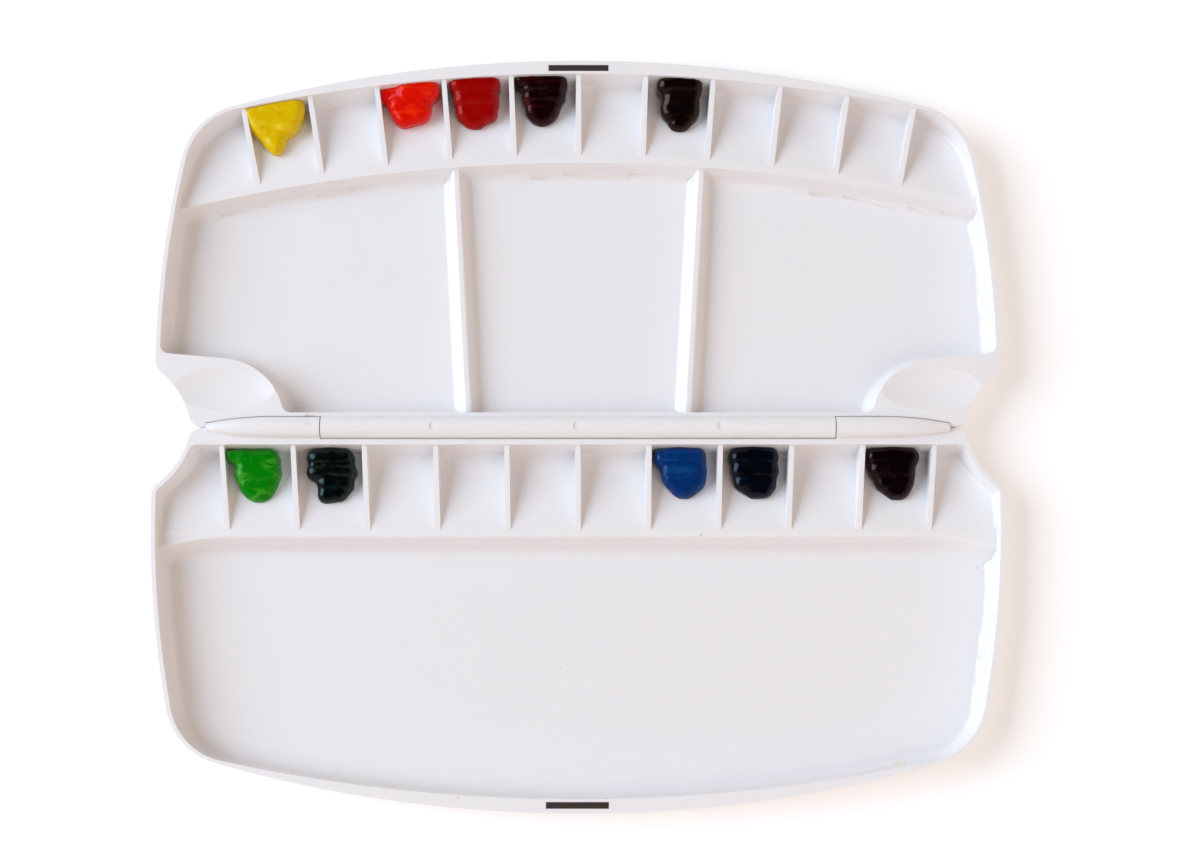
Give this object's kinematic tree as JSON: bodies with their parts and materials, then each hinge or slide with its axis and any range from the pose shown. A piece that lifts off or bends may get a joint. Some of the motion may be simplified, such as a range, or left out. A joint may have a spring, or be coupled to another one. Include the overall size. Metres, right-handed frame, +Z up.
{
  "type": "folding watercolor palette",
  "caption": "Folding watercolor palette: white moulded trays with ramped paint wells and mixing areas, joined by a pin hinge and held shut by magnets, with dabs of paint.",
  "frame": {"origin": "middle of the underside of the open palette, below the hinge line", "axes": "+X along the hinge to the right, +Y from the hinge into the upper tray, +Z up out of the wells"},
  "size_m": [0.278, 0.25, 0.0166],
  "materials": {
    "tray_plastic": "glossy white injection-moulded polystyrene",
    "ferrite": "dull dark ferrite strip magnet",
    "pin_steel": "drawn steel wire",
    "paint_yellow": "thick glossy watercolor paint from the tube, skinned over",
    "paint_orange": "thick glossy watercolor paint from the tube, skinned over",
    "paint_red": "thick glossy watercolor paint from the tube, skinned over",
    "paint_maroon": "thick glossy watercolor paint from the tube, skinned over",
    "paint_brown": "thick glossy watercolor paint from the tube, skinned over",
    "paint_green": "thick glossy watercolor paint from the tube, skinned over",
    "paint_black_green": "thick glossy watercolor paint from the tube, skinned over",
    "paint_blue": "thick glossy watercolor paint from the tube, skinned over",
    "paint_dark_blue": "thick glossy watercolor paint from the tube, skinned over",
    "paint_violet": "thick glossy watercolor paint from the tube, skinned over"
  },
  "bodies": {
    "lower": {"lower_tray": "tray_plastic", "magnet_lower": "ferrite", "hinge_pin_right": "pin_steel", "hinge_pin_left": "pin_steel", "paint_green": "paint_green", "paint_black_green": "paint_black_green", "paint_blue": "paint_blue", "paint_dark_blue": "paint_dark_blue", "paint_violet": "paint_violet"},
    "upper": {"upper_tray": "tray_plastic", "magnet_upper": "ferrite", "paint_yellow": "paint_yellow", "paint_orange": "paint_orange", "paint_red": "paint_red", "paint_maroon": "paint_maroon", "paint_brown": "paint_brown"}
  },
  "joints": [
    {"name": "lid_fold", "type": "hinge", "parent": "lower", "child": "upper", "pos_m": [0, 0, 0.0131], "axis": [1, 0, 0], "range_deg": [0, 180]}
  ]
}
